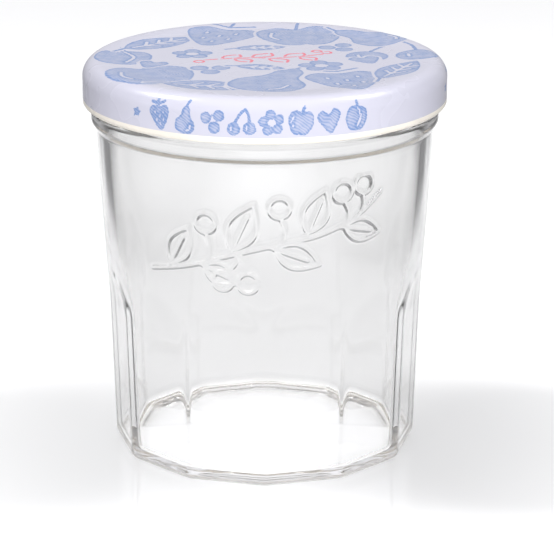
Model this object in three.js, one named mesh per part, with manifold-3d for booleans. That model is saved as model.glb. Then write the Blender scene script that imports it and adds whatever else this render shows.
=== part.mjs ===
// Clear pressed-glass jam jar with twelve flat panels round its lower half, shut by a twist-off tin lid.
// Millimetres, +Z up. The jar stands on z = 0 round the Z axis, with a ridge between two panels at -Y.
import * as THREE from 'three';
import { mergeVertices } from 'three/addons/utils/BufferGeometryUtils.js';
import Module from 'manifold-3d';

const wasm = await Module();
wasm.setup();

// Body of the jar: its radius at the foot, how much it widens for each mm of height, and its upper swell
const footRadius = 35.95;
const footTaper = 0.0334;
const swell = 0.85;
const swellFrom = 35;
const swellTo = 72;
const wall = 2.7;

// Heel, the ring that the jar rests on, and the pushed-up base inside that ring
const heelRadius = 1.9;
const restingRingWidth = 2.6;
const pushUp = 1.2;
const floorHeight = 2.3;
const floorDome = 0.85;
const insideCorner = 1.6;
// Rows of the push-up from its middle out and of the floor from its edge in, as shares of radius and rise
const pushUpRows = [[0, 1], [0.6, 0.86], [0.92, 0.4]];
const floorRows = [[0.55, 0.7], [0, 1]];

// The panels: the angle left round on each side of a ridge, and the scoop that ends each panel in an arch
const panels = 12;
const ridgeAngle = THREE.MathUtils.degToRad(1);
const archTop = 44.2;
const scoopFrom = 35.5;
const scoopPower = 1.8;
const ridgeSoftness = 0.2;
const insideSoftness = 0.6;

// Bead under the lid, neck and rim
const beadRadius = 40.6;
const beadFrom = 77.2;
const beadTo = 82.6;
const beadFlatFrom = 79.6;
const beadFlatTo = 81.4;
const hollowRadius = 39.7;
const neckRadius = 39.3;
const mouthRadius = 36.4;
const rimTop = 90.6;
const rimRoundOutside = 1.3;
const rimRoundInside = 1;

// Twist-off lid of thin sheet: skirt, rolled-in edge, rounded shoulder and a panel sunk gently to its middle
const lidRadius = 42.4;
const lidBottom = 82.95;
const lidTop = 93.25;
const sheet = 0.4;
const curlRadius = 0.9;
const curlMeetsWall = 1.25;
const shoulder = 3.85;
const ringInner = 38;
const ringRise = 0.4;
const ringSlope = 7;

// Sealing ring inside the lid
const sealInner = 36.7;
const sealOuter = 39.9;
const sealBevel = 0.3;
const touchingGap = 0.3;

// Raised sprig on the front of the glass, drawn by arc length round the jar and height over its middle
const sprigHeight = 59.5;
const sprigRadius = 38.4;
const strokeRadius = 0.7;
const strokeSunk = 0.2;
const berryRadius = 2.3;
const stalkBend = 0.7;
const leafStalk = 0.12;
const leafFullness = 0.85;
const veinLength = 0.75;
const stemLine = [[-28, -8.6], [-18, -6.4], [-8, -3.2], [2, -0.6], [12, 1.3], [21, 4.6], [28, 9.6]];
const leaves = [
  { at: [-23, -7.5], turn: 62, long: 11.5, wide: 5.6 },
  { at: [-15, -5.5], turn: -24, long: 10, wide: 4.8 },
  { at: [-8, -3.2], turn: 66, long: 13.5, wide: 6.4 },
  { at: [1, -0.9], turn: -22, long: 12.5, wide: 5.6 },
  { at: [9, 0.8], turn: 68, long: 12, wide: 5.8 },
  { at: [17, 2.9], turn: -14, long: 11.5, wide: 5 },
];
const berries = [
  { from: [-13, -5], at: [-13.4, 4.2] },
  { from: [-6, -2.6], at: [-9.6, -9.2] },
  { from: [-6, -2.6], at: [-3.8, -9.6] },
  { from: [4, -0.2], at: [3.2, 8.2] },
  { from: [19, 3.6], at: [17.6, 11] },
  { from: [22, 5], at: [23, 12.2] },
];

// How finely the pieces are divided: round the axis, up the jar's profile, and along the lines of the sprig
const around = 72;
const lidAround = 60;
const sealAround = 48;
const bodyHeights = [20, 33, 36, 38, 40, 42, 43.4, 45, 56, 66, beadFrom];
const beadHeights = [78.4, beadFlatFrom, beadFlatTo, 82, beadTo];
const insideHeights = [84, 80, 75, 58, 46, 41, 36];
const edgeStep = 2.8;
const veinStep = 4;
const stalkStep = 3;
const stemStep = 3.5;

const glass = new THREE.MeshStandardMaterial({
  color: 0xf4f7f7, roughness: 0.05, metalness: 0, transparent: true, opacity: 0.35,
});
const enamel = new THREE.MeshStandardMaterial({ color: 0xe9e8f2, roughness: 0.3, metalness: 0.1 });
const sealant = new THREE.MeshStandardMaterial({ color: 0xf0dfcf, roughness: 0.6, metalness: 0 });

const smooth = THREE.MathUtils.smoothstep;

function bodyRadius(z) {
  return footRadius + footTaper * (z - heelRadius) + swell * smooth(z, swellFrom, swellTo);
}

// Radius of the outside as turned, before the panels are pressed into it.
function turnedRadius(z) {
  const bead = smooth(z, beadFrom, beadFlatFrom) - smooth(z, beadFlatTo, beadTo);
  const shaft = THREE.MathUtils.lerp(bodyRadius(z), neckRadius, smooth(z, beadFlatFrom, beadFlatTo));
  return shaft + (beadRadius - shaft) * bead;
}

function softMinimum(a, b, softness) {
  return (a + b - Math.hypot(a - b, softness)) / 2;
}

// How far the panels are pressed in from the turned body at this angle round it and this height.
function panelDepth(angle, z, softness) {
  const pitch = 2 * Math.PI / panels;
  const fromMiddle = THREE.MathUtils.euclideanModulo(angle, pitch) - pitch / 2;
  const rise = Math.max(0, (z - scoopFrom) / (archTop - scoopFrom)) ** scoopPower;
  const flatShare = Math.cos(pitch / 2 - ridgeAngle);
  const turned = bodyRadius(z);
  const flat = turned * (flatShare + (1 - flatShare) * rise) / Math.cos(fromMiddle);
  return turned - softMinimum(turned, flat, softness);
}

// A round stretch of a profile, as points. Angles are in degrees from straight out, up being 90.
function arc(centreR, centreZ, radius, from, to, steps) {
  return Array.from({ length: steps + 1 }, (_, i) => {
    const turn = THREE.MathUtils.degToRad(THREE.MathUtils.lerp(from, to, i / steps));
    return [centreR + radius * Math.cos(turn), centreZ + radius * Math.sin(turn)];
  });
}

// A profile row of the jar: radius, height, share of the panels' depth it follows, softness of its ridges.
function row(r, z, share, softness) {
  return { r, z, share, softness };
}

function outsideRow(r, z, share) {
  return row(r, z, share, ridgeSoftness);
}

function insideRow(r, z, share) {
  return row(r, z, share, insideSoftness);
}

function jarOutside() {
  const restingRadius = footRadius - heelRadius;
  const ringInside = restingRadius - restingRingWidth;
  return [
    ...pushUpRows.map(([out, up]) => outsideRow(ringInside * out, pushUp * up, out)),
    outsideRow(ringInside, 0, 1),
    ...arc(restingRadius, heelRadius, heelRadius, -90, 0, 3).map(([r, z]) => outsideRow(r, z, 1)),
    ...bodyHeights.map((z) => outsideRow(turnedRadius(z), z, 1)),
    ...beadHeights.map((z) => outsideRow(turnedRadius(z), z, 0)),
    ...arc(neckRadius - rimRoundOutside, rimTop - rimRoundOutside, rimRoundOutside, 0, 90, 2)
      .map(([r, z]) => outsideRow(r, z, 0)),
  ];
}

function jarInside() {
  const cornerRadius = turnedRadius(floorHeight + insideCorner) - wall - insideCorner;
  return [
    ...arc(mouthRadius + rimRoundInside, rimTop - rimRoundInside, rimRoundInside, 90, 180, 2)
      .map(([r, z]) => insideRow(r, z, 0)),
    ...insideHeights.map((z) => insideRow(Math.min(turnedRadius(z), hollowRadius) - wall, z, 1)),
    ...arc(cornerRadius, floorHeight + insideCorner, insideCorner, 0, -90, 3)
      .map(([r, z]) => insideRow(r, z, 1)),
    ...floorRows.map(([out, up]) => insideRow(cornerRadius * out, floorHeight + floorDome * up, out)),
  ];
}

// Turns a lathe's geometry, made round +Y, so that it stands round +Z.
function standUp(geometry) {
  return geometry.rotateX(Math.PI / 2);
}

function turnedPiece(profile, segments) {
  const points = profile.map(([r, z]) => new THREE.Vector2(r, z));
  return standUp(new THREE.LatheGeometry(points, segments));
}

function jarGeometry() {
  const rows = [...jarOutside(), ...jarInside()];
  const geometry = turnedPiece(rows.map(({ r, z }) => [r, z]), around);
  const position = geometry.getAttribute('position');
  const point = new THREE.Vector3();
  for (let i = 0; i < position.count; i++) {
    const { r, share, softness } = rows[i % rows.length];
    if (r === 0) continue;
    point.fromBufferAttribute(position, i);
    const angle = Math.atan2(point.x, -point.y);
    const pressed = r - share * panelDepth(angle, Math.max(point.z, heelRadius), softness);
    position.setXYZ(i, point.x * pressed / r, point.y * pressed / r, point.z);
  }
  return geometry;
}

// Closed three.js geometry to a solid, without the triangles that a lathe leaves flat on its axis.
function solidFrom(geometry) {
  const bare = new THREE.BufferGeometry();
  bare.setAttribute('position', geometry.getAttribute('position'));
  bare.setIndex(geometry.index);
  const merged = mergeVertices(bare, 1e-3);
  const kept = [];
  for (let i = 0; i < merged.index.count; i += 3) {
    const [a, b, c] = [0, 1, 2].map((k) => merged.index.getX(i + k));
    if (a !== b && b !== c && c !== a) kept.push(a, b, c);
  }
  return new wasm.Manifold(new wasm.Mesh({
    numProp: 3,
    vertProperties: merged.getAttribute('position').array,
    triVerts: new Uint32Array(kept),
  }));
}

function geometryFrom(solid) {
  const mesh = solid.getMesh();
  const geometry = new THREE.BufferGeometry();
  geometry.setAttribute('position', new THREE.BufferAttribute(mesh.vertProperties, mesh.numProp));
  geometry.setIndex(new THREE.BufferAttribute(mesh.triVerts, 1));
  const shaded = geometry.toNonIndexed();
  shaded.computeVertexNormals();
  return shaded;
}

// A point of the sprig's drawing, wrapped onto the outside of the jar.
function onGlass([across, up]) {
  const z = sprigHeight + up;
  const angle = across / sprigRadius;
  const r = bodyRadius(z) - strokeSunk;
  return new THREE.Vector3(r * Math.sin(angle), -r * Math.cos(angle), z);
}

// A raised line of round section through points of the drawing.
function stroke(points, stepLength) {
  const path = new THREE.CatmullRomCurve3(points.map(onGlass));
  const section = new THREE.Shape();
  section.absarc(0, 0, strokeRadius, 0, 2 * Math.PI);
  const steps = Math.max(3, Math.round(path.getLength() / stepLength));
  const options = { steps, curveSegments: 3, bevelEnabled: false, extrudePath: path };
  return new THREE.ExtrudeGeometry(section, options);
}

function leafStrokes({ at, turn, long, wide }) {
  const lean = THREE.MathUtils.degToRad(turn);
  const place = (along, side) => [
    at[0] + along * Math.cos(lean) - side * Math.sin(lean),
    at[1] + along * Math.sin(lean) + side * Math.cos(lean),
  ];
  const edge = (side) => Array.from({ length: 7 }, (_, i) => {
    const t = i / 6;
    const out = side * wide / 2 * Math.sin(Math.PI * t ** leafFullness);
    return place(long * THREE.MathUtils.lerp(leafStalk, 1, t), out);
  });
  const veinEnd = long * veinLength;
  return [
    stroke(edge(1), edgeStep),
    stroke(edge(-1), edgeStep),
    stroke([place(0, 0), place(veinEnd / 2, 0), place(veinEnd, 0)], veinStep),
  ];
}

// A berry is a raised ring laid on the glass, with a stalk.
function berryStrokes({ from, at }) {
  const ring = new THREE.TorusGeometry(berryRadius, strokeRadius, 6, 10);
  const centre = onGlass(at);
  const outward = new THREE.Vector3(centre.x, centre.y, 0).normalize();
  ring.applyQuaternion(new THREE.Quaternion().setFromUnitVectors(new THREE.Vector3(0, 0, 1), outward));
  ring.translate(centre.x, centre.y, centre.z);
  const [acrossGap, upGap] = [from[0] - at[0], from[1] - at[1]];
  const reach = berryRadius / Math.hypot(acrossGap, upGap);
  const foot = [at[0] + acrossGap * reach, at[1] + upGap * reach];
  const bend = [(from[0] + foot[0]) / 2 + stalkBend, (from[1] + foot[1]) / 2];
  return [ring, stroke([from, bend, foot], stalkStep)];
}

function glassJar() {
  const stem = stroke(stemLine, stemStep);
  const strokes = [stem, ...leaves.flatMap(leafStrokes), ...berries.flatMap(berryStrokes)];
  const solid = strokes.map(solidFrom).reduce((body, line) => body.add(line), solidFrom(jarGeometry()));
  return geometryFrom(solid);
}

// Height of the panel over its sunken middle, this far along the slope from it to the ring.
function panelRise(along) {
  return ringRise * smooth(along, 0, 1);
}

function lidGeometry() {
  const middleZ = lidTop - ringRise;
  const middleR = ringInner - ringSlope;
  const shoulderR = lidRadius - shoulder;
  const shoulderZ = lidTop - shoulder;
  const curlR = lidRadius - curlRadius;
  const curlZ = lidBottom + curlRadius;
  const slope = [0, 0.33, 0.67, 1].map((along) => [middleR + ringSlope * along, middleZ + panelRise(along)]);
  return turnedPiece([
    [0, middleZ - sheet],
    ...slope.map(([r, z]) => [r, z - sheet]),
    ...arc(shoulderR, shoulderZ, shoulder - sheet, 90, 0, 4),
    [lidRadius - sheet, curlZ + curlMeetsWall],
    ...arc(curlR, curlZ, curlRadius, 150, 360, 6),
    ...arc(shoulderR, shoulderZ, shoulder, 0, 90, 6),
    ...slope.toReversed(),
    [0, middleZ],
  ], lidAround);
}

function sealGeometry() {
  const under = rimTop + touchingGap;
  const top = lidTop - ringRise - sheet - touchingGap;
  return turnedPiece([
    [sealInner + sealBevel, under],
    [sealOuter - sealBevel, under],
    [sealOuter, under + sealBevel],
    [sealOuter - sealBevel, top],
    [sealInner + sealBevel, top],
    [sealInner, under + sealBevel],
    [sealInner + sealBevel, under],
  ], sealAround);
}

function piece(name, geometry, material) {
  const mesh = new THREE.Mesh(geometry, material);
  mesh.name = name;
  return mesh;
}

const jar = new THREE.Group();
jar.add(piece('jar', glassJar(), glass));
jar.add(piece('lid', lidGeometry(), enamel));
jar.add(piece('lid_liner', sealGeometry(), sealant));

export default jar;
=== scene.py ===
import math

import bpy
import numpy as np
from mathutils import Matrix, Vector


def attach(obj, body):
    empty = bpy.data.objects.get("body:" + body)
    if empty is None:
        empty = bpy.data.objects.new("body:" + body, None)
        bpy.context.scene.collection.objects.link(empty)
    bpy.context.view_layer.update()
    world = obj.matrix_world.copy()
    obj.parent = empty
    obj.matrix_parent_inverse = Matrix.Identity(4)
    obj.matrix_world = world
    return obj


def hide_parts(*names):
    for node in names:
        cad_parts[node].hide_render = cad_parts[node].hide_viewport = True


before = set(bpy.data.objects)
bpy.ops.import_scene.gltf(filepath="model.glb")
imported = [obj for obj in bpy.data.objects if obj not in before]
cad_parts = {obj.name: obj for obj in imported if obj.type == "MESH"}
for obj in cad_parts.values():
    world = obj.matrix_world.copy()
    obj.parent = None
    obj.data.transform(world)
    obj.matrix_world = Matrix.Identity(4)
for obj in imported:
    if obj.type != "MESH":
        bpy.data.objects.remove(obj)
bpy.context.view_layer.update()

# Clear glass jam jar with twelve flat panels, a raised fruit sprig and a printed twist-off lid.
# Shapes are worked out in millimetres with +Z up and turned into metres by makeMesh.
mm = 0.001
tiny = 1e-12


# Small helpers
def smooth(x, low, high):
    t = np.clip((np.asarray(x, float) - low) / (high - low), 0, 1)
    return t * t * (3 - 2 * t)


def softMinimum(a, b, softness):
    return (a + b - np.hypot(a - b, softness)) / 2


def arc(centreR, centreZ, radius, start, end, steps):
    turn = np.radians(np.linspace(start, end, steps + 1))
    return list(zip(centreR + radius * np.cos(turn), centreZ + radius * np.sin(turn)))


def circleLine(x, y, radius, steps=24):
    turn = np.linspace(0, 2 * math.pi, steps, endpoint=False)
    return np.stack([x + radius * np.cos(turn), y + radius * np.sin(turn)], 1)


def curveThrough(points, perSpan=10, closed=False):
    # Catmull-Rom curve through a few points of a drawing
    p = np.asarray(points, float)
    count = len(p)
    spans = count if closed else count - 1
    pick = (lambda i: p[i % count]) if closed else (lambda i: p[min(max(i, 0), count - 1)])
    out = []
    for i in range(spans):
        a, b, c, d = pick(i - 1), pick(i), pick(i + 1), pick(i + 2)
        for t in np.linspace(0, 1, perSpan, endpoint=False):
            out.append(0.5 * (2 * b + (c - a) * t + (2 * a - 5 * b + 4 * c - d) * t * t
                              + (3 * b - a - 3 * c + d) * t ** 3))
    if not closed:
        out.append(p[-1])
    return np.array(out)


def distanceToLine(points, line, closed=False):
    # distance from each point to the nearest stretch of a polyline
    start = line if closed else line[:-1]
    end = np.roll(line, -1, axis=0) if closed else line[1:]
    way = end - start
    length = np.maximum((way ** 2).sum(1), tiny)
    offset = points[:, None, :] - start[None]
    along = np.clip((offset * way[None]).sum(2) / length, 0, 1)
    gap = offset - along[..., None] * way[None]
    return np.sqrt((gap ** 2).sum(2)).min(1)


def insideOutline(points, outline):
    # a point is inside where a line to its right crosses the outline an odd number of times
    x, y = points[:, 0][:, None], points[:, 1][:, None]
    x0, y0 = outline[:, 0][None], outline[:, 1][None]
    x1, y1 = np.roll(outline[:, 0], -1)[None], np.roll(outline[:, 1], -1)[None]
    crosses = (y0 > y) != (y1 > y)
    at = x0 + (y - y0) / np.where(y1 == y0, tiny, y1 - y0) * (x1 - x0)
    return (np.where(crosses & (x < at), 1, 0).sum(1) % 2) == 1


def makeMesh(name, points, faces, materials, slots=None):
    mesh = bpy.data.meshes.new(name)
    mesh.from_pydata((np.asarray(points, float) * mm).tolist(), [], faces)
    for material in materials:
        mesh.materials.append(material)
    mesh.polygons.foreach_set("use_smooth", [True] * len(mesh.polygons))
    if slots is not None:
        mesh.polygons.foreach_set("material_index", slots)
    mesh.update()
    piece = bpy.data.objects.new(name, mesh)
    bpy.context.collection.objects.link(piece)
    return piece


def ringFaces(rows, columns, poleFirst, poleLast, closedLoop):
    # quads between rows of a turned body, with fans at a first and a last row that is one point
    def at(row, column):
        if poleFirst:
            return 0 if row == 0 else 1 + (row - 1) * columns + column % columns
        return row * columns + column % columns

    faces = []
    faceRows = []
    for row in range(rows if closedLoop else rows - 1):
        nextRow = (row + 1) % rows
        for c in range(columns):
            if poleFirst and row == 0:
                face = (0, at(1, c + 1), at(1, c))
            elif poleLast and nextRow == rows - 1:
                face = (at(row, c), at(row, c + 1), at(nextRow, 0))
            else:
                face = (at(row, c), at(row, c + 1), at(nextRow, c + 1), at(nextRow, c))
            faces.append(face)
            faceRows.append(row)
    return faces, faceRows


def turned(name, profile, angles, materials, rowSlots=None, closedLoop=False, shapeRow=None):
    # body of revolution from (r, z) rows; shapeRow(index, radii, angles) may change a row's radii
    first = not closedLoop and profile[0][0] == 0
    last = not closedLoop and profile[-1][0] == 0
    points = []
    for i, (r, z) in enumerate(profile):
        if (i == 0 and first) or (i == len(profile) - 1 and last):
            points.append((0, 0, z))
            continue
        radii = np.full(len(angles), float(r))
        if shapeRow:
            radii = shapeRow(i, radii, angles)
        points += [(x, y, z) for x, y in zip(radii * np.sin(angles), -radii * np.cos(angles))]
    faces, faceRows = ringFaces(len(profile), len(angles), first, last, closedLoop)
    slots = None if rowSlots is None else [rowSlots[row] for row in faceRows]
    return makeMesh(name, points, faces, materials, slots)


# Nodes that the materials share
def newMaterial(name):
    material = bpy.data.materials.new(name)
    material.use_nodes = True
    tree = material.node_tree
    return material, tree, tree.nodes["Principled BSDF"]


def maths(tree, operation, a, b=0.0, clamp=False):
    made = tree.nodes.new("ShaderNodeMath")
    made.operation = operation
    made.use_clamp = clamp
    for i, value in enumerate((a, b)):
        if isinstance(value, (int, float)):
            made.inputs[i].default_value = value
        else:
            tree.links.new(value, made.inputs[i])
    return made.outputs[0]


def plus(tree, a, b):
    return maths(tree, "ADD", a, b)


def times(tree, a, b):
    return maths(tree, "MULTIPLY", a, b)


def spread(tree, value, fromLow, fromHigh, toLow=0.0, toHigh=1.0, curve="SMOOTHSTEP"):
    made = tree.nodes.new("ShaderNodeMapRange")
    made.interpolation_type = curve
    tree.links.new(value, made.inputs["Value"])
    ends = dict(zip(("From Min", "From Max", "To Min", "To Max"), (fromLow, fromHigh, toLow, toHigh)))
    for key, number in ends.items():
        made.inputs[key].default_value = number
    return made.outputs["Result"]


def mixColours(tree, share, a, b):
    made = tree.nodes.new("ShaderNodeMix")
    made.data_type = "RGBA"
    for socket, value in ((made.inputs[0], share), (made.inputs[6], a), (made.inputs[7], b)):
        if isinstance(value, tuple):
            socket.default_value = value
        else:
            tree.links.new(value, socket)
    return made.outputs[2]


def noise(tree, scale, detail=2.0):
    made = tree.nodes.new("ShaderNodeTexNoise")
    made.inputs["Scale"].default_value = scale
    made.inputs["Detail"].default_value = detail
    tree.links.new(tree.nodes.new("ShaderNodeTexCoord").outputs["Object"], made.inputs["Vector"])
    return made.outputs["Fac"]


def attribute(tree, name):
    made = tree.nodes.new("ShaderNodeAttribute")
    made.attribute_name = name
    return made.outputs["Fac"]


def addBump(tree, shader, height, strength, distance):
    made = tree.nodes.new("ShaderNodeBump")
    made.inputs["Strength"].default_value = strength
    made.inputs["Distance"].default_value = distance
    tree.links.new(height, made.inputs["Height"])
    tree.links.new(made.outputs["Normal"], shader.inputs["Normal"])


def scaled(colour, share):
    return tuple(c * share for c in colour[:3]) + (1.0,)


# Camera, lights and floor
cameraPlace = dict(
    eye=(0.0, -0.6027, 0.2291),
    aim=(0.0, 0.0, 0.0396),
    lens=172.2,
    sensor=36.0,
    shift=0.022,
    farthest=20.0,
)


def turnTowards(thing, place, aim):
    thing.location = place
    thing.rotation_mode = "QUATERNION"
    thing.rotation_quaternion = (Vector(aim) - Vector(place)).to_track_quat("-Z", "Y")


def makeCamera():
    camera = bpy.data.objects.new("camera", bpy.data.cameras.new("camera"))
    bpy.context.collection.objects.link(camera)
    turnTowards(camera, cameraPlace["eye"], cameraPlace["aim"])
    camera.data.lens = cameraPlace["lens"]
    camera.data.sensor_width = cameraPlace["sensor"]
    camera.data.shift_x = cameraPlace["shift"]
    camera.data.clip_end = cameraPlace["farthest"]
    bpy.context.scene.camera = camera


# metres and watts; an unseen lamp gives light but shows neither straight nor in the glass or the gloss
lamps = dict(
    overhead=dict(place=(0.0, 0.2, 0.95), aim=(0.0, 0.05, 0.0), size=(0.6, 0.6), power=0.3),
    leftSide=dict(place=(-0.54, 0.08, 0.84), aim=(0.0, 0.0, 0.03), size=(0.16, 0.3), power=5.4),
    rightSide=dict(place=(0.54, 0.08, 0.84), aim=(0.0, 0.0, 0.03), size=(0.2, 0.3), power=4.0),
    front=dict(place=(0.10, -0.9, 0.22), aim=(0.0, 0.0, 0.07), size=(0.4, 0.2), power=7.6, unseen=True),
    # lights the inside of the lid
    underLid=dict(place=(0.0, 0.0, 0.055), aim=(0.0, 0.0, 0.1), size=(0.04, 0.04), power=0.030, unseen=True),
)


def softBox(name, place, aim, size, power, unseen=False):
    lamp = bpy.data.lights.new(name, "AREA")
    lamp.shape = "RECTANGLE"
    lamp.size, lamp.size_y = size
    lamp.energy = power
    made = bpy.data.objects.new(name, lamp)
    bpy.context.collection.objects.link(made)
    turnTowards(made, place, aim)
    if unseen:
        made.visible_camera = made.visible_transmission = made.visible_glossy = False


def makeLights():
    for name, lamp in lamps.items():
        softBox(name, **lamp)


# strengths of the light from around; each pair is where one fades, on a direction of length 1
worldLook = dict(
    dim=0.08,    # all round
    # a pale wall behind the jar, with its height, and the share of it that reflections lose
    wall=0.85,
    wallAhead=(0.62, 0.85),
    wallTop=(0.42, 0.60),
    glossDim=0.5,
    # a dimmer one behind the camera
    room=0.35,
    roomFrom=(-0.85, -0.55),
    # the light from above
    above=0.15,
    aboveFrom=(0.45, 0.85),
    # what the glass itself shows of the room above
    throughGlass=0.6,
    throughFrom=(0.15, 0.45),
    # the backdrop where it is seen straight, so that no view ends in a dark band
    backdrop=0.95,
    colour=(0.97, 0.97, 1.0, 1.0),
)


def makeWorld():
    look = worldLook
    world = bpy.data.worlds.new("studio")
    bpy.context.scene.world = world
    world.use_nodes = True
    tree = world.node_tree
    split = tree.nodes.new("ShaderNodeSeparateXYZ")
    tree.links.new(tree.nodes.new("ShaderNodeTexCoord").outputs["Generated"], split.inputs[0])
    y, z = split.outputs["Y"], split.outputs["Z"]
    ray = tree.nodes.new("ShaderNodeLightPath").outputs
    wall = times(tree, spread(tree, y, *look["wallAhead"], 0.0, look["wall"]),
                 spread(tree, z, *look["wallTop"], 1.0, 0.0))
    inGloss = maths(tree, "SUBTRACT", 1.0, times(tree, ray["Is Glossy Ray"], look["glossDim"]))
    wall = times(tree, wall, inGloss)
    room = plus(tree, look["dim"], spread(tree, y, *look["roomFrom"], look["room"], 0.0))
    above = spread(tree, z, *look["aboveFrom"], 0.0, look["above"])
    through = spread(tree, z, *look["throughFrom"], 0.0, look["throughGlass"])
    above = maths(tree, "MAXIMUM", above, times(tree, through, ray["Is Transmission Ray"]))
    level = plus(tree, room, plus(tree, wall, above))
    level = maths(tree, "MAXIMUM", level, times(tree, ray["Is Camera Ray"], look["backdrop"]))
    tree.links.new(level, tree.nodes["Background"].inputs["Strength"])
    tree.nodes["Background"].inputs["Color"].default_value = look["colour"]


# a pale table that glows; each pair is how far from the jar's middle something fades, in metres
floorLook = dict(
    half=1.6,
    drop=0.05,    # millimetres under the jar
    colour=(0.86, 0.86, 0.865, 1.0),
    clouds=6.0,
    cloudLighter=1.02,
    roughness=0.05,
    ior=1.45,
    # its glow where it is seen straight, less near the jar: a painted shadow round the jar
    seen=0.315,
    seenShadowDip=0.18,
    shadowDipFrom=(0.045, 0.110),
    # its glow where it lights the jar or shows through it, in a strip from front to back
    glow=0.155,
    farGlow=0.22,
    farFrom=(0.12, 0.24),
    underGlow=0.45,
    underTo=(0.032, 0.040),
    glowEdge=(0.100, 0.165),
    # and its colour where lamps and the glass see it: a painted shade, darker still outside the strip
    middleShade=0.75,
    sideShade=0.22,
)


def floorSurface():
    look = floorLook
    material, tree, shader = newMaterial("paleFloor")
    shader.inputs["Roughness"].default_value = look["roughness"]
    shader.inputs["IOR"].default_value = look["ior"]
    place = tree.nodes.new("ShaderNodeSeparateXYZ")
    tree.links.new(tree.nodes.new("ShaderNodeTexCoord").outputs["Object"], place.inputs[0])
    x, y = place.outputs["X"], place.outputs["Y"]
    out = maths(tree, "SQRT", plus(tree, times(tree, x, x), times(tree, y, y)))
    middle = spread(tree, maths(tree, "ABSOLUTE", x), *look["glowEdge"], 1.0, 0.0)
    seen = tree.nodes.new("ShaderNodeLightPath").outputs["Is Camera Ray"]
    table = mixColours(tree, noise(tree, look["clouds"]), look["colour"],
                       scaled(look["colour"], look["cloudLighter"]))
    # painted shade: the floor as lamps and the glass see it is darker, most of all to the sides
    unseen = mixColours(tree, middle, scaled(look["colour"], look["sideShade"]),
                        scaled(look["colour"], look["middleShade"]))
    tree.links.new(mixColours(tree, seen, unseen, table), shader.inputs["Base Color"])
    # painted shadow: seen straight, the floor glows less near the jar
    straight = spread(tree, out, *look["shadowDipFrom"], look["seen"] - look["seenShadowDip"], look["seen"])
    far = spread(tree, y, *look["farFrom"], 0.0, look["farGlow"])
    under = spread(tree, out, *look["underTo"], look["underGlow"], 0.0)
    strip = times(tree, plus(tree, look["glow"], plus(tree, far, under)), middle)
    lit = plus(tree, times(tree, seen, straight), times(tree, maths(tree, "SUBTRACT", 1.0, seen), strip))
    shader.inputs["Emission Color"].default_value = (1.0, 1.0, 1.0, 1.0)
    tree.links.new(lit, shader.inputs["Emission Strength"])
    return material


def makeFloor():
    half, drop = floorLook["half"] / mm, floorLook["drop"]
    corners = [(-half, -half, -drop), (half, -half, -drop), (half, half, -drop), (-half, half, -drop)]
    floor = makeMesh("floor", corners, [(0, 1, 2, 3)], [floorSurface()])


makeCamera()
makeWorld()
makeLights()
makeFloor()
print("stage: camera, lights and floor")


# Glass jar
glassLook = dict(
    tint=(0.99, 0.99, 0.989, 1.0),
    ior=1.5,
    roughness=(0.0, 0.012),
    smears=140.0,
    smearsFrom=(0.45, 0.7),
    # the long waves of pressed glass, with their height in metres
    waves=55.0,
    wavesDetail=1.0,
    wavesStrength=0.5,
    wavesHeight=0.00003,
    shadowTint=(0.985, 0.985, 0.987, 1.0),
)


def clearGlass():
    look = glassLook
    material, tree, shader = newMaterial("clearGlass")
    shader.inputs["Base Color"].default_value = look["tint"]
    shader.inputs["Transmission Weight"].default_value = 1.0
    shader.inputs["IOR"].default_value = look["ior"]
    smears = spread(tree, noise(tree, look["smears"]), *look["smearsFrom"], *look["roughness"])
    tree.links.new(smears, shader.inputs["Roughness"])
    waves = noise(tree, look["waves"], look["wavesDetail"])
    addBump(tree, shader, waves, look["wavesStrength"], look["wavesHeight"])
    # lamps reach through the glass, a little dimmed
    clear = tree.nodes.new("ShaderNodeBsdfTransparent")
    clear.inputs["Color"].default_value = look["shadowTint"]
    mix = tree.nodes.new("ShaderNodeMixShader")
    tree.links.new(tree.nodes.new("ShaderNodeLightPath").outputs["Is Shadow Ray"], mix.inputs[0])
    tree.links.new(shader.outputs[0], mix.inputs[1])
    tree.links.new(clear.outputs[0], mix.inputs[2])
    tree.links.new(mix.outputs[0], tree.nodes["Material Output"].inputs["Surface"])
    return material


jarShape = dict(
    # foot and wall, with the height over which the wall swells towards the shoulder
    footRadius=35.95, footTaper=0.0334, swell=0.85, swellSpan=(35, 72), wall=2.7,
    heelRadius=1.9, restingRing=2.6, pushUp=1.2, pushUpCurve=(3, 0.8), pushUpPanels=0.8,
    floorHeight=2.3, floorDome=0.85, insideCorner=1.6,
    # flat panels: each ridge is rounded over ridgeAngle degrees, and the arches scoop out from scoopFrom
    panels=12, ridgeAngle=1.0, archTop=44.2, scoopFrom=35.5, scoopPower=1.8,
    ridgeSoftness=0.3, insideSoftness=1.05, insideArchDrop=0.9,
    beadRadius=40.6, beadRise=(77.2, 79.6), beadFall=(81.4, 82.6), hollowRadius=39.7,
    neckRadius=39.3, mouthRadius=36.4, rimTop=90.6, rimRound=1.3, mouthRound=1.0,
    # rows of the mesh outside: shares of the pushed-up part, then even heights, then fine ones
    pushUpRows=(0.12, 0.96, 9), heelSteps=8, lowRows=13, fineFrom=34.0, fineStep=0.4, rimSteps=6,
    # and inside: a first height, a last height and how many, then down to just over the corner
    mouthSteps=5, insideRows=[(88, 84.5, 3), (84, 74.5, 20), (73, 49, 9), (48, 33.6, 19)],
    lastFrom=32.0, lastOverCorner=2.0, lastRows=7, cornerSteps=9, floorRows=(0.85, 0.12, 6),
    # columns of the mesh, in degrees to each side of a ridge
    ridgeColumns=(0, 0.6, 1.2, 2, 3.5, 6, 9, 12, 15),
)
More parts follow.
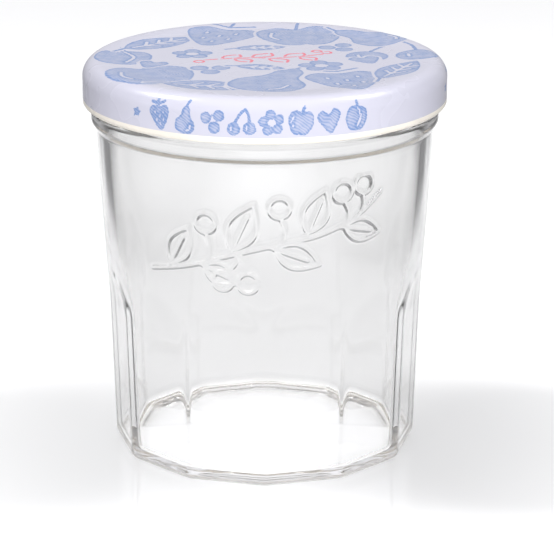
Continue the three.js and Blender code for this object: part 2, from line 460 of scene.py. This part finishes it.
# A raised sprig: places by arc length round the jar at this radius, and height over this middle
sprig = dict(
    middle=59.5, radius=38.4, halfWidth=0.82, height=0.55, lineRoundness=0.8, lineReach=1.5,
    # the finest mesh: degrees to each side, lowest and highest row, and the step in millimetres
    front=46.0, low=46.4, high=73.6, pitch=0.31,
    # coarser columns from there to the flank, in degrees
    flank=74.0, flankFrom=0.6, flankStep=0.8,
    stem=[(-28, -8.6), (-18, -6.4), (-8, -3.2), (2, -0.6), (12, 1.3), (21, 4.6), (28, 9.6)],
    leaves=[
        dict(at=(-23, -7.5), turn=62, long=11.5, wide=5.6),
        dict(at=(-15, -5.5), turn=-24, long=10, wide=4.8),
        dict(at=(-8, -3.2), turn=66, long=13.5, wide=6.4),
        dict(at=(1, -0.9), turn=-22, long=12.5, wide=5.6),
        dict(at=(9, 0.8), turn=68, long=12, wide=5.8),
        dict(at=(17, 2.9), turn=-14, long=11.5, wide=5),
    ],
    leafStart=0.12, leafFullness=0.85, leafSteps=18, veinLength=0.75,
    berries=[
        dict(stalk=(-13, -5), at=(-13.4, 4.2)),
        dict(stalk=(-6, -2.6), at=(-9.6, -9.2)),
        dict(stalk=(-6, -2.6), at=(-3.8, -9.6)),
        dict(stalk=(4, -0.2), at=(3.2, 8.2)),
        dict(stalk=(19, 3.6), at=(17.6, 11)),
        dict(stalk=(22, 5), at=(23, 12.2)),
    ],
    berryRadius=2.3, berrySteps=28, stalkBend=0.7,
)


def bodyRadius(z):
    s = jarShape
    return s["footRadius"] + s["footTaper"] * (z - s["heelRadius"]) + s["swell"] * smooth(z, *s["swellSpan"])


def turnedRadius(z):
    s = jarShape
    bead = smooth(z, *s["beadRise"]) - smooth(z, *s["beadFall"])
    toNeck = smooth(z, s["beadRise"][1], s["beadFall"][0])
    shaft = bodyRadius(z) * (1 - toNeck) + s["neckRadius"] * toNeck
    return shaft + (s["beadRadius"] - shaft) * bead


def panelDepth(angles, z, inside):
    # how far a flat panel or its arch lies inside the turned shape
    s = jarShape
    softness = s["insideSoftness"] if inside else s["ridgeSoftness"]
    pitch = 2 * math.pi / s["panels"]
    fromMiddle = np.mod(angles, pitch) - pitch / 2
    scooped = z + s["insideArchDrop"] if inside else z
    rise = max(0.0, (scooped - s["scoopFrom"]) / (s["archTop"] - s["scoopFrom"])) ** s["scoopPower"]
    flatShare = math.cos(pitch / 2 - math.radians(s["ridgeAngle"]))
    turnedHere = bodyRadius(z)
    flat = turnedHere * (flatShare + (1 - flatShare) * rise) / np.cos(fromMiddle)
    return turnedHere - softMinimum(turnedHere, flat, softness)


def outsideRows():
    # each row: radius, height, share of the panels' depth, and whether it is on the inside
    s = jarShape
    resting = s["footRadius"] - s["heelRadius"]
    ringInside = resting - s["restingRing"]
    rows = [(0, s["pushUp"], 0, False)]
    inner, outer = s["pushUpCurve"]
    for t in np.linspace(*s["pushUpRows"]):
        rows.append((ringInside * t, s["pushUp"] * (1 - t ** inner) ** outer, s["pushUpPanels"] * t, False))
    rows.append((ringInside, 0, 1, False))
    heel = arc(resting, s["heelRadius"], s["heelRadius"], -90, 0, s["heelSteps"])
    rows += [(r, z, 1, False) for r, z in heel]
    step = s["fineStep"]
    heights = np.concatenate([
        np.linspace(s["heelRadius"], s["fineFrom"], s["lowRows"])[1:],
        np.arange(s["fineFrom"] + step, sprig["low"], step),
        np.arange(sprig["low"], sprig["high"], sprig["pitch"]),
        np.arange(sprig["high"], s["beadFall"][1] + step / 2, step),
    ])
    rows += [(turnedRadius(z), z, 1, False) for z in heights]
    rim = s["rimRound"]
    edge = arc(s["neckRadius"] - rim, s["rimTop"] - rim, rim, 0, 90, s["rimSteps"])
    rows += [(r, z, 0, False) for r, z in edge]
    return rows


def insideRows():
    s = jarShape
    rim = s["mouthRound"]
    edge = arc(s["mouthRadius"] + rim, s["rimTop"] - rim, rim, 90, 180, s["mouthSteps"])
    rows = [(r, z, 0, True) for r, z in edge]
    cornerZ = s["floorHeight"] + s["insideCorner"]
    spans = s["insideRows"] + [(s["lastFrom"], cornerZ + s["lastOverCorner"], s["lastRows"])]
    for z in np.concatenate([np.linspace(*span) for span in spans]):
        rows.append((min(turnedRadius(z), s["hollowRadius"]) - s["wall"], z, 1, True))
    cornerR = turnedRadius(cornerZ) - s["wall"] - s["insideCorner"]
    rows += [(r, z, 1, True) for r, z in arc(cornerR, cornerZ, s["insideCorner"], 0, -90, s["cornerSteps"])]
    for t in np.linspace(*s["floorRows"]):
        rows.append((cornerR * t, s["floorHeight"] + s["floorDome"] * (1 - t ** 2), t, True))
    rows.append((0, s["floorHeight"] + s["floorDome"], 0, True))
    return rows


def jarAngles():
    # fine steps across the sprig, and steps that crowd at the ridges elsewhere
    finest = math.degrees(sprig["pitch"] / sprig["radius"])
    angles = list(np.arange(-sprig["front"], sprig["front"], finest))
    for ridge in range(0, 360, 360 // jarShape["panels"]):
        for offset in jarShape["ridgeColumns"]:
            for angle in (ridge + offset, ridge - offset):
                turn = (angle + 180) % 360 - 180
                if abs(turn) > sprig["flank"]:
                    angles.append(turn)
    for turn in np.arange(sprig["front"] + sprig["flankFrom"], sprig["flank"], sprig["flankStep"]):
        angles += [turn, -turn]
    return np.radians(np.unique(np.round(angles, 3)))    # equal columns count once


def sprigLines():
    lines = [curveThrough(sprig["stem"])]
    leafStart = sprig["leafStart"]
    for leaf in sprig["leaves"]:
        lean = math.radians(leaf["turn"])
        turn = np.array([[math.cos(lean), math.sin(lean)], [-math.sin(lean), math.cos(lean)]])
        t = np.linspace(0, 1, sprig["leafSteps"])
        along = leaf["long"] * (leafStart + (1 - leafStart) * t)
        side = leaf["wide"] / 2 * np.sin(math.pi * t ** sprig["leafFullness"])
        for sign in (1, -1):
            lines.append(np.stack([along, sign * side], 1) @ turn + leaf["at"])
        lines.append(np.array([(0, 0), (leaf["long"] * sprig["veinLength"], 0)]) @ turn + leaf["at"])
    for berry in sprig["berries"]:
        centre, start = np.array(berry["at"], float), np.array(berry["stalk"], float)
        ring = circleLine(*centre, sprig["berryRadius"], sprig["berrySteps"])
        lines.append(np.concatenate([ring, ring[:1]]))
        foot = centre + (start - centre) / np.linalg.norm(start - centre) * sprig["berryRadius"]
        lines.append(curveThrough([start, (start + foot) / 2 + (sprig["stalkBend"], 0), foot]))
    return lines


def sprigRelief(angles, z, lines):
    # height of the raised lines over the glass at one height of the jar
    relief = np.zeros(len(angles))
    if not sprig["low"] <= z <= sprig["high"]:
        return relief
    here = np.abs(angles) < math.radians(sprig["front"])
    points = np.stack([angles[here] * sprig["radius"], np.full(here.sum(), z - sprig["middle"])], 1)
    reach = sprig["lineReach"]
    nearest = np.full(len(points), reach)
    for line in lines:
        if line[:, 1].min() - reach < points[0, 1] < line[:, 1].max() + reach:
            nearest = np.minimum(nearest, distanceToLine(points, line))
    share = np.clip(nearest / sprig["halfWidth"], 0, 1)
    relief[here] = sprig["height"] * (0.5 + 0.5 * np.cos(math.pi * share)) ** sprig["lineRoundness"]
    return relief


def makeJar():
    rows = outsideRows() + insideRows()
    lines = sprigLines()

    def shapeRow(i, radii, angles):
        height, share, inside = rows[i][1:]
        z = max(height, jarShape["heelRadius"])
        radii = radii - share * panelDepth(angles, z, inside)
        if not inside and share == 1:
            radii = radii + sprigRelief(angles, z, lines)
        return radii

    jar = turned("glassJar", [row[:2] for row in rows], jarAngles(), [clearGlass()], shapeRow=shapeRow)
    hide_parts("jar")
    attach(jar, "root")
    print("glass jar:", len(jar.data.polygons), "faces")


makeJar()


# Lid
lidShape = dict(
    radius=42.4, bottom=82.95, top=93.25, sheet=0.4, curl=0.9, curlTurn=-210, shoulder=3.85,
    # the panel sinks by ringRise over ringSlope, inside ringInner
    ringInner=38.0, ringRise=0.4, ringSlope=7.0,
    enamelEnd=84.8,    # bare lacquer shows below this height
    # how the sheet's inside runs past the curl and up to the shoulder
    insideOverCurl=1.4, insideUnderShoulder=1.0,
    # rows and columns of the mesh
    columns=600, panelFrom=0.6, panelGap=0.3, panelRows=76, slopeRows=16, shoulderSteps=18, skirtStep=0.3,
    curlSteps=12, insideSteps=5,
)


def lidRows():
    # outside from the middle of the panel to the curled edge, then the inside back to the middle
    s = lidShape
    panelZ = s["top"] - s["ringRise"]
    flatEdge = s["ringInner"] - s["ringSlope"]
    rows = [(0, panelZ)]
    rows += [(r, panelZ) for r in np.linspace(s["panelFrom"], flatEdge - s["panelGap"], s["panelRows"])]
    for t in np.linspace(0, 1, s["slopeRows"]):
        rows.append((flatEdge + s["ringSlope"] * t, panelZ + s["ringRise"] * float(smooth(t, 0, 1))))
    shoulderR, shoulderZ = s["radius"] - s["shoulder"], s["top"] - s["shoulder"]
    rows += arc(shoulderR, shoulderZ, s["shoulder"], 90, 0, s["shoulderSteps"])
    curlR, curlZ = s["radius"] - s["curl"], s["bottom"] + s["curl"]
    step = s["skirtStep"]
    rows += [(s["radius"], z) for z in np.arange(shoulderZ - step, curlZ + step / 3, -step)]
    rows += arc(curlR, curlZ, s["curl"], 0, s["curlTurn"], s["curlSteps"])
    outsideCount = len(rows)
    inside = s["radius"] - s["sheet"]
    rows.append((inside, curlZ + s["insideOverCurl"] * s["curl"]))
    rows.append((inside, shoulderZ - s["insideUnderShoulder"]))
    rows += arc(shoulderR, shoulderZ, s["shoulder"] - s["sheet"], 0, 90, s["insideSteps"])
    rows += [(s["ringInner"], s["top"] - s["sheet"]), (flatEdge, panelZ - s["sheet"])]
    rows += [(flatEdge / 2, panelZ - s["sheet"]), (0, panelZ - s["sheet"])]
    return rows, outsideCount


# The print's motifs, each in a square of side 2: filled outlines, drawn lines, white lines and white rings
curveSteps = dict(outline=5, line=6, coral=8)


def motif(fills, drawn=(), white=(), rings=()):
    return dict(fills=fills, drawn=drawn, white=white, rings=rings)


def fruit(rightHalf, **lines):
    # an outline by its right half from the top down, mirrored to the left
    leftHalf = [(-x, y) for x, y in reversed(rightHalf) if x > 0]
    return motif([curveThrough(rightHalf + leftHalf, curveSteps["outline"], True)], **lines)


def pear():
    right = [(0, 1), (0.26, 0.72), (0.36, 0.25), (0.7, -0.2), (0.68, -0.72), (0.3, -0.98)]
    return fruit(right, drawn=[[(0, 1), (0.1, 1.35)]], white=[[(0.4, -0.35), (0.36, -0.62), (0.2, -0.76)]])


def apple():
    right = [(0, 0.62), (0.42, 0.8), (0.85, 0.5), (0.86, -0.1), (0.52, -0.75), (0.16, -0.88), (0, -0.8)]
    return fruit(right, drawn=[[(0, 0.62), (0.12, 1.1)]], white=[[(-0.55, 0.35), (-0.62, 0), (-0.5, -0.3)]])


def plum():
    right = [(0, 0.82), (0.62, 0.68), (0.82, 0), (0.55, -0.7), (0, -0.86)]
    return fruit(right, drawn=[[(0, 0.82), (-0.1, 1.2)]], white=[[(0.02, 0.7), (0.3, 0.1), (0.12, -0.55)]])


def strawberry():
    right = [(0, 0.62), (0.5, 0.74), (0.8, 0.4), (0.62, -0.2), (0.22, -0.85), (0, -0.98)]
    leaves = [[(0, 0.8), tip] for tip in ((-0.5, 1.02), (0, 1.15), (0.5, 1.02))]
    places = ((-0.35, 0.3), (0.3, 0.32), (0, 0.05), (-0.28, -0.22), (0.28, -0.2), (0, -0.5))
    seeds = [[(x, y), (x, y - 0.1)] for x, y in places]
    return fruit(right, drawn=leaves, white=seeds)


def heart():
    return fruit([(0, 0.45), (0.42, 0.78), (0.84, 0.42), (0.6, -0.2), (0, -0.9)])


def cherries():
    left, right, joint = (-0.5, -0.5), (0.55, -0.3), (0.1, 0.95)
    stalks = [[(-0.5, -0.1), (-0.25, 0.5), joint], [(0.5, 0.12), (0.35, 0.6), joint]]
    shine = [[(-0.7, -0.4), (-0.66, -0.62)], [(0.36, -0.2), (0.4, -0.42)]]
    return motif([circleLine(*left, 0.46), circleLine(*right, 0.46)], drawn=stalks, white=shine)


def berries():
    return motif([circleLine(-0.45, 0.3, 0.4), circleLine(0.45, 0.35, 0.4), circleLine(0.02, -0.42, 0.42)])


def flower(petals=5, reach=0.55, petalRadius=0.36, eyeRadius=0.2):
    turns = np.radians(90 + np.arange(petals) * 360 / petals)
    fills = [circleLine(reach * math.cos(turn), reach * math.sin(turn), petalRadius) for turn in turns]
    return motif(fills, rings=[circleLine(0, 0, eyeRadius)])


def leaf(halfWidth=0.46, lean=0.9, fullness=0.85, steps=20, veinOut=0.22, veinUp=0.24):
    t = np.linspace(0, 1, steps)
    half = halfWidth * np.sin(math.pi * t ** lean) ** fullness
    upper = np.stack([t * 2 - 1, half], 1)
    outline = np.concatenate([upper, upper[::-1] * (1, -1)])
    veins = [[(-0.75, 0), (0.7, 0)]]
    for x in (-0.4, -0.05, 0.3):
        veins += [[(x, 0), (x + veinOut, side)] for side in (veinUp, -veinUp)]
    return motif([outline], drawn=[[(-1, 0), (-1.35, -0.1)]], white=veins)


def star(points=5, dent=0.5):
    turn = np.radians(90 + np.arange(2 * points) * 180 / points)
    reach = np.where(np.arange(2 * points) % 2 == 0, 1.0, dent)
    return motif([np.stack([reach * np.cos(turn), reach * np.sin(turn)], 1)])


motifs = dict(
    pear=pear(), apple=apple(), plum=plum(), strawberry=strawberry(), heart=heart(),
    cherries=cherries(), berries=berries(), flower=flower(), leaf=leaf(), star=star(),
)

# Sizes in millimetres and turns in degrees. A line's width is measured from its middle.
lidPrint = dict(
    bare=-3.0,    # the depth of a point with no print near it
    nearby=1.9,    # a motif is looked for this many half sizes around its middle
    margin=0.75,    # white kept round a motif that lies over another
    # motif, x, y, half size and turn, on the panel seen from above with the front at -y
    top=[
        ("apple", -25.5, -17.5, 8.6, 18), ("leaf", -12.5, -27.5, 8.2, -12), ("pear", 2.5, -21.5, 9.2, -24),
        ("strawberry", 18.5, -22.0, 8.4, 14), ("leaf", 30.5, -12.0, 7.6, 62), ("plum", -33.0, 0.5, 6.4, 0),
        ("cherries", 30.0, 7.0, 8.4, -8), ("leaf", -25.0, 16.5, 8.2, 40),
        ("strawberry", -11.0, 24.5, 8.6, -16), ("apple", 8.5, 24.5, 8.8, 8), ("pear", 24.5, 23.0, 7.6, 48),
        ("berries", -12.5, -11.5, 4.2, 0), ("flower", 13.0, -7.5, 4.6, 10), ("berries", 17.5, 11.5, 4.0, 30),
        ("flower", -17.0, 4.8, 4.2, 0), ("heart", 23.5, -1.5, 3.4, 20), ("leaf", -1.0, 11.5, 4.8, 8),
        ("leaf", -1.0, -9.0, 4.6, -14), ("heart", -26.0, -6.0, 3.2, -20),
    ],
    topScale=1.3, topPen=dict(drawn=0.42, white=0.36, weight=1.1), topHatches=(35, 85, 135),
    # the row of small motifs on the skirt, by arc length round it and height
    rim=["star", "strawberry", "pear", "berries", "cherries", "flower", "apple", "heart", "plum"],
    rimSize=3.3, starSize=1.5, rimPitch=6.5, rimMiddle=88.0, rimRepeats=3, rimStart=-5.0,
    rimPen=dict(drawn=0.34, white=0.2, weight=1.0), rimHatch=60, rimLean=8,
    skirtEnd=52.0,    # degrees up the shoulder where the skirt's print ends and the panel's begins
)
# A thin hand-drawn sprig in the middle of the panel. A leaf is x, y, side and length, with three shares of
# its length across and up: its tip, the bend of one edge and the belly of the other.
coralSprig = dict(
    stem=[(-14, -1.6), (-9, -0.2), (-4, 0.6), (1, 0.4), (6, 1.4), (13.5, 4.4)],
    leaves=[(-10, -0.5, 1, 5.5), (-7, 0.1, -1, 5), (-3, 0.6, 1, 6), (1, 0.4, -1, 5.5), (4.5, 1, 1, 6),
            (8, 2.1, -1, 5)],
    tip=(0.75, 0.8), bend=(0.15, 0.55), belly=(0.75, 0.3),
    berries=[(14.5, 6.2), (-15.2, -3.2), (12.2, 7.6)],
    berryRadius=1.1, berrySteps=12, halfWidth=0.36, berryWidth=0.9, weight=1.6,
)
blueTone, coralTone = 0.0, 1.0


def newSheet(points):
    # what the print says at each point: depth inside a motif, tone, strength, and where the strokes run
    count = len(points)
    return dict(points=points, printDepth=np.full(count, lidPrint["bare"]), printTone=np.zeros(count),
                printWeight=np.ones(count), hatchAcross=np.zeros(count))


def putOn(sheet, where, depth, tone, weight, across):
    sheet["printDepth"][where] = depth
    sheet["printTone"][where] = tone
    sheet["printWeight"][where] = weight
    sheet["hatchAcross"][where] = across


def addMotif(sheet, name, x, y, size, turn, pen, hatch):
    lean, strokes = math.radians(turn), math.radians(hatch)
    turnBack = np.array([[math.cos(lean), -math.sin(lean)], [math.sin(lean), math.cos(lean)]])
    away = np.hypot(sheet["points"][:, 0] - x, sheet["points"][:, 1] - y)
    near = np.nonzero(away < size * lidPrint["nearby"])[0]
    points = sheet["points"][near]
    local = (points - (x, y)) @ turnBack / size
    drawing = motifs[name]
    depth = np.full(len(local), lidPrint["bare"])
    for outline in drawing["fills"]:
        gap = distanceToLine(local, outline, closed=True) * size
        depth = np.maximum(depth, np.where(insideOutline(local, outline), gap, -gap))
    for line in drawing["drawn"]:
        away = distanceToLine(local, curveThrough(line, curveSteps["line"])) * size
        depth = np.maximum(depth, pen["drawn"] - away)
    covered = depth > -lidPrint["margin"]
    for line in drawing["white"]:
        away = distanceToLine(local, curveThrough(line, curveSteps["line"])) * size
        depth = np.minimum(depth, away - pen["white"])
    for ring in drawing["rings"]:
        depth = np.minimum(depth, distanceToLine(local, ring, closed=True) * size - pen["white"])
    across = points @ np.array([math.cos(strokes), math.sin(strokes)])
    putOn(sheet, near[covered], depth[covered], blueTone, pen["weight"], across[covered])


def addCoralLine(sheet, line, halfWidth):
    depth = halfWidth - distanceToLine(sheet["points"], curveThrough(line, curveSteps["coral"]))
    covered = np.nonzero(depth > -lidPrint["margin"] / 2)[0]
    putOn(sheet, covered, depth[covered], coralTone, coralSprig["weight"], sheet["points"][covered, 0])


def addCoralSprig(sheet):
    s = coralSprig
    addCoralLine(sheet, s["stem"], s["halfWidth"])
    for x, y, side, long in s["leaves"]:
        corners = [(x + long * over, y + side * long * up) for over, up in (s["tip"], s["bend"], s["belly"])]
        tip, bend, belly = corners
        addCoralLine(sheet, [(x, y), bend, tip], s["halfWidth"])
        addCoralLine(sheet, [(x, y), belly, tip], s["halfWidth"])
    for x, y in s["berries"]:
        ring = circleLine(x, y, s["berryRadius"], s["berrySteps"])
        addCoralLine(sheet, np.concatenate([ring, ring[:1]]), s["halfWidth"] * s["berryWidth"])


def printTop(points):
    sheet = newSheet(points)
    hatches = lidPrint["topHatches"]
    for i, (name, x, y, halfSize, turn) in enumerate(lidPrint["top"]):
        size, hatch = halfSize * lidPrint["topScale"], hatches[i % len(hatches)]
        addMotif(sheet, name, x, y, size, turn, lidPrint["topPen"], hatch)
    addCoralSprig(sheet)
    return sheet


def printSkirt(points):
    sheet = newSheet(points)
    whole = 2 * math.pi * lidShape["radius"]
    names, pen, hatch = lidPrint["rim"], lidPrint["rimPen"], lidPrint["rimHatch"]
    for repeat in range(lidPrint["rimRepeats"]):
        middle = whole * repeat / lidPrint["rimRepeats"] + lidPrint["rimStart"]
        for i, name in enumerate(names):
            x = middle + (i - (len(names) - 1) / 2) * lidPrint["rimPitch"]
            x = (x + whole / 2) % whole - whole / 2
            size = lidPrint["starSize"] if name == "star" else lidPrint["rimSize"]
            lean = lidPrint["rimLean"] if i % 2 else -lidPrint["rimLean"]
            addMotif(sheet, name, x, lidPrint["rimMiddle"], size, lean, pen, hatch)
    return sheet


def printLid(mesh, outside):
    # the print is kept in the mesh as four values at each point, and the enamel draws it
    count = len(mesh.vertices)
    place = np.empty(count * 3)
    mesh.vertices.foreach_get("co", place)
    place = place.reshape(-1, 3) / mm
    shoulderR, shoulderZ = lidShape["radius"] - lidShape["shoulder"], lidShape["top"] - lidShape["shoulder"]
    bend = np.arctan2(place[:, 2] - shoulderZ, np.hypot(place[:, 0], place[:, 1]) - shoulderR)
    onTop = outside & (place[:, 2] > shoulderZ) & (bend > math.radians(lidPrint["skirtEnd"]))
    onSkirt = outside & ~onTop
    upSkirt = np.where(place[:, 2] > shoulderZ, shoulderZ + lidShape["shoulder"] * bend, place[:, 2])
    angle = np.arctan2(place[onSkirt][:, 0], -place[onSkirt][:, 1])
    top = printTop(place[onTop][:, :2])
    skirt = printSkirt(np.stack([angle * lidShape["radius"], upSkirt[onSkirt]], 1))
    for name in ("printDepth", "printTone", "hatchAcross", "printWeight"):
        values = np.full(count, lidPrint["bare"] if name == "printDepth" else 0.0)
        values[onTop] = top[name]
        values[onSkirt] = skirt[name]
        mesh.attributes.new(name, "FLOAT", "POINT").data.foreach_set("value", values)


enamelLook = dict(
    white=(0.60, 0.597, 0.695, 1.0),
    blue=(0.17, 0.27, 0.52, 1.0),
    coral=(0.78, 0.20, 0.26, 1.0),
    grainDetail=3.0, grainFrom=(0.3, 0.7),    # the part of each noise that is used
    # millimetres: how ragged a motif's edge is, where it starts, and where its darker outline ends
    raggedGrain=1800.0, ragged=0.12, edgeFrom=(-0.05, 0.07), outlineFrom=(0.25, 0.75),
    hatchPitch=0.62, wobbleGrain=260.0, wobble=2.2, strokeFrom=(-0.9, 0.9), patchGrain=420.0,
    # how much each adds to the ink
    wash=0.28, strokes=0.30, patches=0.22, outline=0.30,
    roughness=(0.25, 0.29), roughnessGrain=60.0,
    # an uneven coat, with its height in metres
    coatGrain=40.0, coatDetail=1.0, coatStrength=0.3, coatHeight=0.00002,
    coat=0.1, coatRoughness=0.12, ior=1.4,
)


def printedEnamel():
    look = enamelLook
    material, tree, shader = newMaterial("printedEnamel")
    grain = noise(tree, look["raggedGrain"], look["grainDetail"])
    ragged = spread(tree, grain, *look["grainFrom"], -look["ragged"], look["ragged"], "LINEAR")
    depth = plus(tree, attribute(tree, "printDepth"), ragged)
    inside = spread(tree, depth, *look["edgeFrom"])
    outline = spread(tree, depth, *look["outlineFrom"], 1.0, 0.0)
    wobble = times(tree, noise(tree, look["wobbleGrain"]), look["wobble"])
    across = plus(tree, attribute(tree, "hatchAcross"), wobble)
    phase = times(tree, across, 2 * math.pi / look["hatchPitch"])
    strokes = spread(tree, maths(tree, "SINE", phase), *look["strokeFrom"])
    patches = spread(tree, noise(tree, look["patchGrain"], look["grainDetail"]), *look["grainFrom"])
    filling = plus(tree, times(tree, strokes, look["strokes"]), times(tree, patches, look["patches"]))
    ink = maths(tree, "ADD", plus(tree, filling, look["wash"]), times(tree, outline, look["outline"]), True)
    ink = maths(tree, "MULTIPLY", times(tree, ink, attribute(tree, "printWeight")), inside, True)
    tone = mixColours(tree, attribute(tree, "printTone"), look["blue"], look["coral"])
    tree.links.new(mixColours(tree, ink, look["white"], tone), shader.inputs["Base Color"])
    uneven = spread(tree, noise(tree, look["roughnessGrain"]), *look["grainFrom"], *look["roughness"])
    tree.links.new(uneven, shader.inputs["Roughness"])
    coat = noise(tree, look["coatGrain"], look["coatDetail"])
    addBump(tree, shader, coat, look["coatStrength"], look["coatHeight"])
    shader.inputs["Coat Weight"].default_value = look["coat"]
    shader.inputs["Coat Roughness"].default_value = look["coatRoughness"]
    shader.inputs["IOR"].default_value = look["ior"]
    return material


# The lid's inside and its sealing ring: a colour with darker clouds, and a roughness that wanders
lacquerLook = dict(
    insideLacquer=dict(colour=(0.90, 0.85, 0.77, 1.0), roughness=(0.3, 0.4), clouds=60.0),
    sealingCompound=dict(colour=(0.86, 0.76, 0.66, 1.0), roughness=(0.55, 0.65), clouds=90.0),
    cloudShade=0.93, cloudDetail=3.0, cloudFrom=(0.35, 0.65), finerClouds=3.0, roughnessFrom=(0.3, 0.7),
)


def lacquer(name):
    shared, look = lacquerLook, lacquerLook[name]
    material, tree, shader = newMaterial(name)
    cloud = spread(tree, noise(tree, look["clouds"], shared["cloudDetail"]), *shared["cloudFrom"])
    darker = scaled(look["colour"], shared["cloudShade"])
    tree.links.new(mixColours(tree, cloud, look["colour"], darker), shader.inputs["Base Color"])
    grain = noise(tree, look["clouds"] * shared["finerClouds"])
    uneven = spread(tree, grain, *shared["roughnessFrom"], *look["roughness"])
    tree.links.new(uneven, shader.inputs["Roughness"])
    return material


def makeLid():
    rows, outsideCount = lidRows()
    last = len(rows) - 1
    columns = lidShape["columns"]
    angles = np.linspace(-math.pi, math.pi, columns, endpoint=False)
    enamelled = [i < outsideCount and z > lidShape["enamelEnd"] for i, (r, z) in enumerate(rows)]
    slots = [0 if here else 1 for here in enamelled]
    # the mesh is made from the inside out, so that its faces point outwards
    lid = turned("printedLid", rows[::-1], angles, [printedEnamel(), lacquer("insideLacquer")],
                 rowSlots=slots[::-1][1:])
    pointRow = last - np.concatenate([[0], np.repeat(np.arange(1, last), columns), [last]])
    printLid(lid.data, pointRow < outsideCount)
    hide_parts("lid")
    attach(lid, "root")
    print("lid:", len(lid.data.polygons), "faces")


makeLid()


# Sealing ring inside the lid
sealShape = dict(inner=36.7, outer=39.9, bottom=90.9, top=92.1, columns=180, edgeSteps=6)


def makeSeal():
    s = sealShape
    middle, half = (s["top"] + s["bottom"]) / 2, (s["top"] - s["bottom"]) / 2
    profile = arc(s["outer"] - half, middle, half, -90, 90, s["edgeSteps"])
    profile += arc(s["inner"] + half, middle, half, 90, 270, s["edgeSteps"])
    angles = np.linspace(-math.pi, math.pi, s["columns"], endpoint=False)
    seal = turned("sealingRing", profile, angles, [lacquer("sealingCompound")], closedLoop=True)
    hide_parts("lid_liner")
    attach(seal, "root")
    print("sealing ring:", len(seal.data.polygons), "faces")


makeSeal()


# Light crosses many glass surfaces here, and reflects many times inside the heel
scene = bpy.context.scene
scene.view_settings.view_transform = "Standard"
scene.cycles.use_denoising = True
scene.cycles.max_bounces = 40
scene.cycles.transmission_bounces = 24
scene.cycles.glossy_bounces = 28
scene.cycles.transparent_max_bounces = 16
scene.cycles.caustics_refractive = False
scene.cycles.caustics_reflective = False
